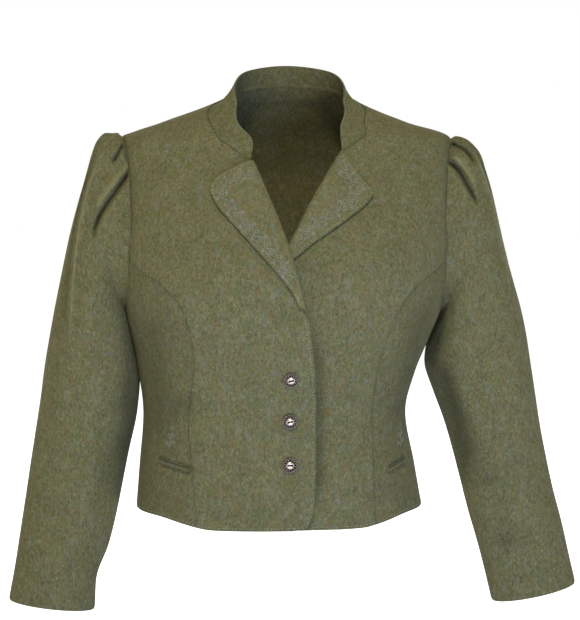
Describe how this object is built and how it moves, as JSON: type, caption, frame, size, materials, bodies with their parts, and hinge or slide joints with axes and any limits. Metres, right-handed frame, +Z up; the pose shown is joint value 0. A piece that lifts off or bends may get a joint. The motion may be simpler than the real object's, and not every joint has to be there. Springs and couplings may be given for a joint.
{
  "type": "tyrolean loden jacket",
  "caption": "Short fitted women's loden jacket in Tyrolean style with stand collar, turned-back embroidered lapels, pleated sleeve heads and a metal-buttoned front, worn shape, hollow.",
  "frame": {"origin": "middle between the shoulders, inside the neck opening, at the height where the shoulder slope meets the neck", "axes": "+Z up, -Y is the wearer's front, +X is the wearer's left"},
  "size_m": [0.715, 0.2692, 0.6728],
  "materials": {
    "loden": "fulled olive melange wool, matt nap",
    "collar_loden": "the same loden, cut for the collar",
    "lapel_loden": "the same loden with tone-on-tone embroidery",
    "sleeve_right_loden": "the same loden",
    "sleeve_left_loden": "the same loden",
    "welt_loden": "the same loden, folded double",
    "old_silver": "antique silver cast button, dark in the recesses"
  },
  "bodies": {
    "root": {"front_right": "loden", "front_left": "loden", "side_front_right": "loden", "side_front_left": "loden", "back": "loden", "sleeve_right": "sleeve_right_loden", "sleeve_left": "sleeve_left_loden", "collar": "collar_loden", "lapel_right": "lapel_loden", "lapel_left": "lapel_loden", "welt_right": "welt_loden", "welt_left": "welt_loden", "button_1": "old_silver", "button_2": "old_silver", "button_3": "old_silver"}
  },
  "joints": []
}
